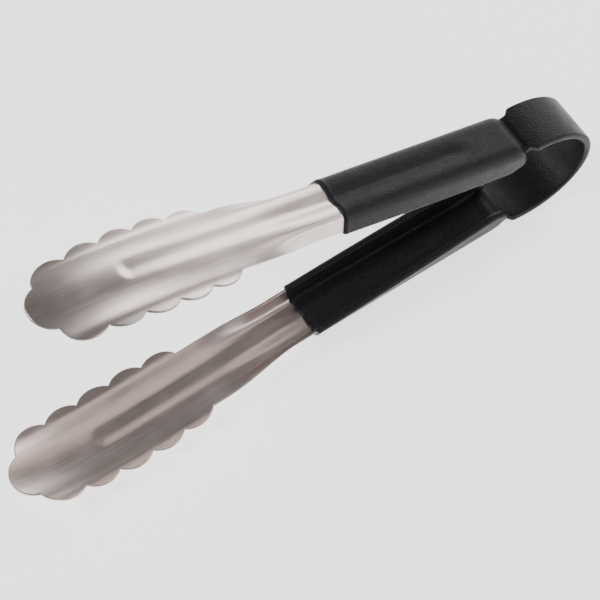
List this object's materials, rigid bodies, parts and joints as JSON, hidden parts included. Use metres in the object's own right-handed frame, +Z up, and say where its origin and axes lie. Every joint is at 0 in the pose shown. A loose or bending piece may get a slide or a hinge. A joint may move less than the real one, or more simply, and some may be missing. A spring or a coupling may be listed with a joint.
{
  "type": "spring loaded kitchen tongs",
  "caption": "Sprung kitchen tongs pressed from a folded stainless strip, with scalloped spoon heads and a soft dipped coating on the bow and grips.",
  "frame": {"origin": "on the floor under the middle of the object's box, with the tongs lying open on the lower arm", "axes": "+X along the tongs from the bow towards the heads, +Y across them, +Z up, away from the floor"},
  "size_m": [0.248, 0.0364, 0.1153],
  "materials": {
    "steel": "satin brushed along the arm",
    "coating": "satin dipped soft vinyl with a fine pebbled skin"
  },
  "bodies": {
    "lower_arm": {"lower_arm_steel": "steel", "lower_bow_steel": "steel", "lower_grip_coating": "coating", "lower_bow_coating": "coating"},
    "upper_arm": {"upper_arm_steel": "steel", "upper_bow_steel": "steel", "upper_grip_coating": "coating", "upper_bow_coating": "coating"}
  },
  "joints": [
    {"name": "bow_flex", "type": "hinge", "parent": "lower_arm", "child": "upper_arm", "pos_m": [-0.11156, 0, 0.0211], "axis": [0, 1, 0], "range_deg": [0, 26.5], "stiffness_Nm_per_rad": 1.4, "springref_deg": -3.44}
  ]
}
